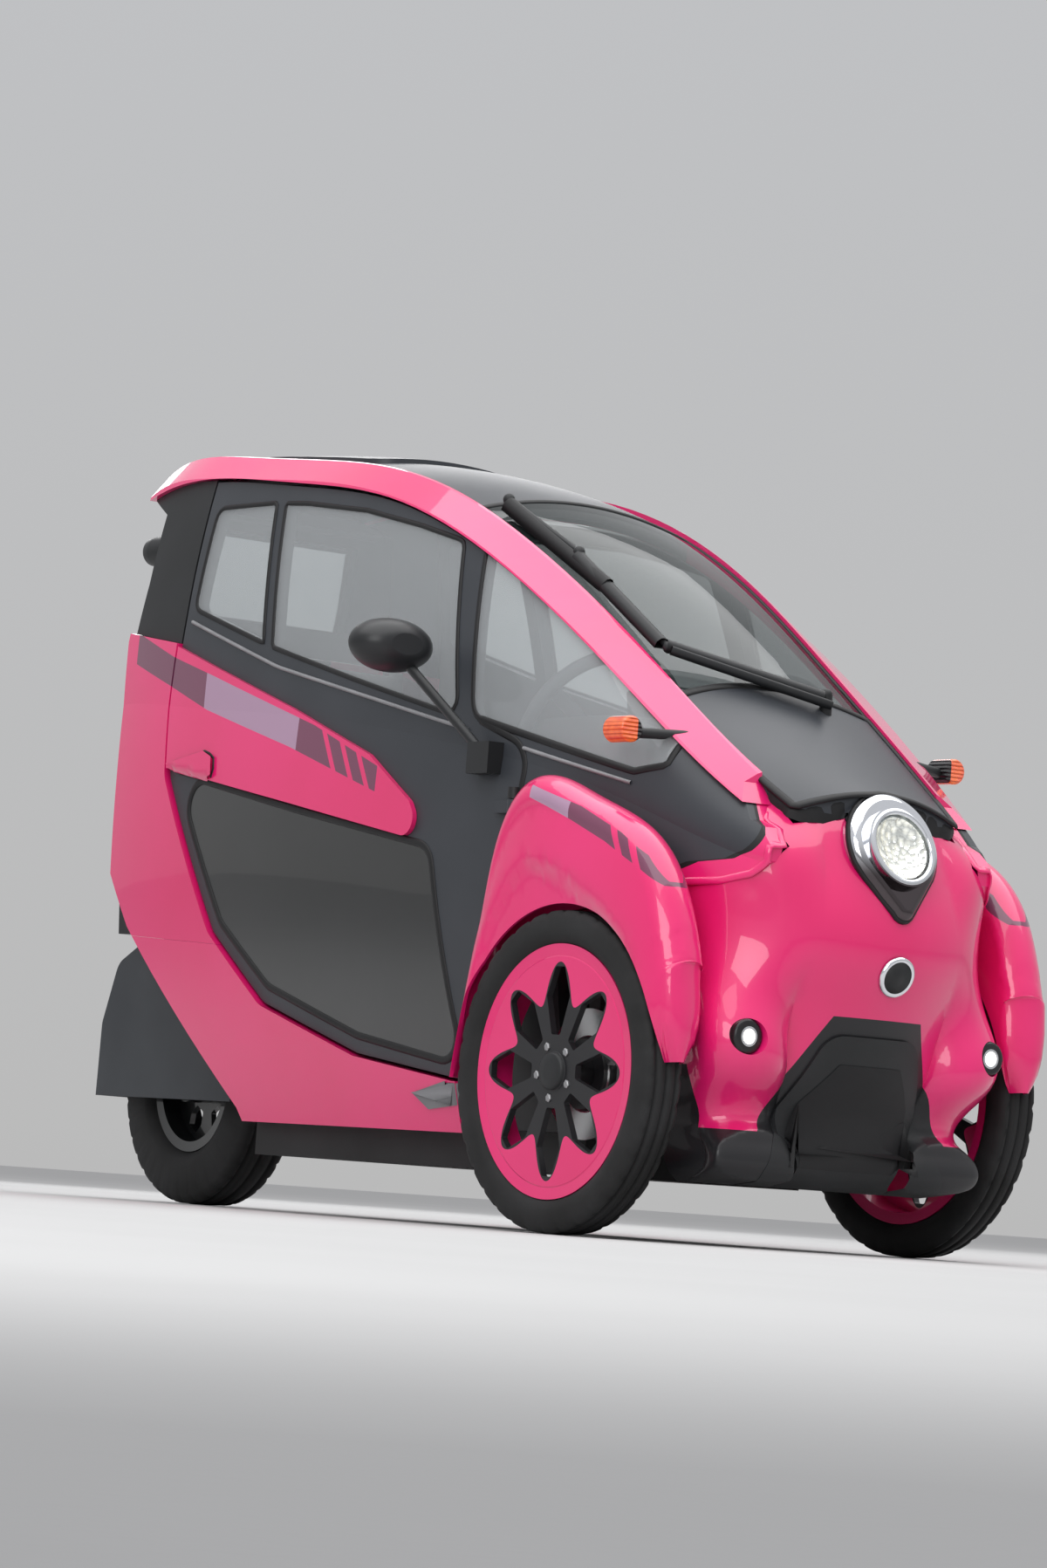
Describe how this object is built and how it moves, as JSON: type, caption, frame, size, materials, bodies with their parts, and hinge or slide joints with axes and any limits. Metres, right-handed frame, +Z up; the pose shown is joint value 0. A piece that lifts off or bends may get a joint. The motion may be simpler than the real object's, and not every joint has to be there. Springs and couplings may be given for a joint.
{
  "type": "three wheeled car",
  "caption": "Narrow three-wheeled electric car with leaning front wheels, a steered rear wheel, seats in line and a door on each side.",
  "frame": {"origin": "on the ground under the middle of the car's bounding box", "axes": "+X forward, +Y to the car's left, +Z up"},
  "size_m": [2.3459, 1.0684, 1.4642],
  "materials": {
    "paint_pink": "gloss",
    "panel_dark": "satin",
    "plastic_black": "satin",
    "glass_clear": "clear",
    "panel_tinted": "gloss",
    "wheel_pink": "gloss",
    "wheel_black": "satin",
    "tyre": "matte",
    "chassis": "satin",
    "lamp_chrome": "polished",
    "lamp_clear": "clear",
    "lamp_orange": "gloss",
    "lamp_red": "gloss",
    "seat_fabric": "woven",
    "interior": "grained",
    "wheel_grip": "smooth",
    "metal": "cast"
  },
  "bodies": {
    "body": {"roof_rails": "paint_pink", "roof_panel": "panel_dark", "windscreen": "glass_clear", "bonnet": "panel_dark", "door_hinges": "chassis", "quarter_glass": "glass_clear", "cheek_panels": "panel_dark", "wheelhouse_panels": "plastic_black", "sills": "paint_pink", "rear_pillars": "paint_pink", "tail_frame": "panel_dark", "rear_window": "glass_clear", "tail_panel": "plastic_black", "tail_lamps": "lamp_red", "tail_carrier": "plastic_black", "headlamp_housing": "lamp_chrome", "headlamp_lens": "lamp_clear", "fog_lamps": "lamp_clear", "nose_panel": "paint_pink", "chin": "plastic_black", "front_fenders": "paint_pink", "floor_tray": "chassis", "battery_case": "chassis", "seat_front_cushion": "seat_fabric", "seat_front_back": "seat_fabric", "seat_rear_cushion": "seat_fabric", "seat_rear_back": "seat_fabric", "dashboard": "interior", "front_suspension": "chassis", "turn_signals": "lamp_orange", "signal_stalks": "plastic_black", "wiper": "plastic_black"},
    "front_wheel_left": {"wheel_front_left_rim": "wheel_pink", "wheel_front_left_tyre": "tyre"},
    "front_wheel_right": {"wheel_front_right_rim": "wheel_pink", "wheel_front_right_tyre": "tyre"},
    "rear_steering": {"rear_fork": "chassis", "rear_mudguard": "plastic_black"},
    "rear_wheel": {"wheel_rear_rim": "wheel_black", "wheel_rear_tyre": "tyre"},
    "steering_wheel": {"steering_wheel": "wheel_grip"},
    "left_door": {"door_left_frame": "panel_dark", "door_left_accent": "paint_pink", "door_left_glass": "glass_clear", "door_left_lower_panel": "panel_tinted", "door_left_mirror": "plastic_black"},
    "right_door": {"door_right_frame": "panel_dark", "door_right_accent": "paint_pink", "door_right_glass": "glass_clear", "door_right_lower_panel": "panel_tinted", "door_right_mirror": "plastic_black"}
  },
  "joints": [
    {"name": "front_left_spin", "type": "hinge", "parent": "body", "child": "front_wheel_left", "pos_m": [0.7725, 0.39, 0.275], "axis": [0, 1, 0], "continuous": true},
    {"name": "front_right_spin", "type": "hinge", "parent": "body", "child": "front_wheel_right", "pos_m": [0.7725, -0.39, 0.275], "axis": [0, 1, 0], "continuous": true},
    {"name": "rear_steer", "type": "hinge", "parent": "body", "child": "rear_steering", "pos_m": [-0.9275, 0, 0.5], "axis": [0, 0, 1], "range_deg": [-28, 28]},
    {"name": "rear_spin", "type": "hinge", "parent": "rear_steering", "child": "rear_wheel", "pos_m": [-0.9275, 0, 0.235], "axis": [0, 1, 0], "continuous": true},
    {"name": "steering_turn", "type": "hinge", "parent": "body", "child": "steering_wheel", "pos_m": [0.2725, 0, 0.9], "axis": [-0.8829, 0, 0.4695], "range_deg": [-270, 270]},
    {"name": "left_door_hinge", "type": "hinge", "parent": "body", "child": "left_door", "pos_m": [0.5265, 0.364, 0.7], "axis": [0, 0, -1], "range_deg": [0, 60]},
    {"name": "right_door_hinge", "type": "hinge", "parent": "body", "child": "right_door", "pos_m": [0.5265, -0.364, 0.7], "axis": [0, 0, 1], "range_deg": [0, 60]}
  ],
  "couplings": [
    {"joint": "steering_turn", "follows": "rear_steer", "ratio": -9}
  ]
}
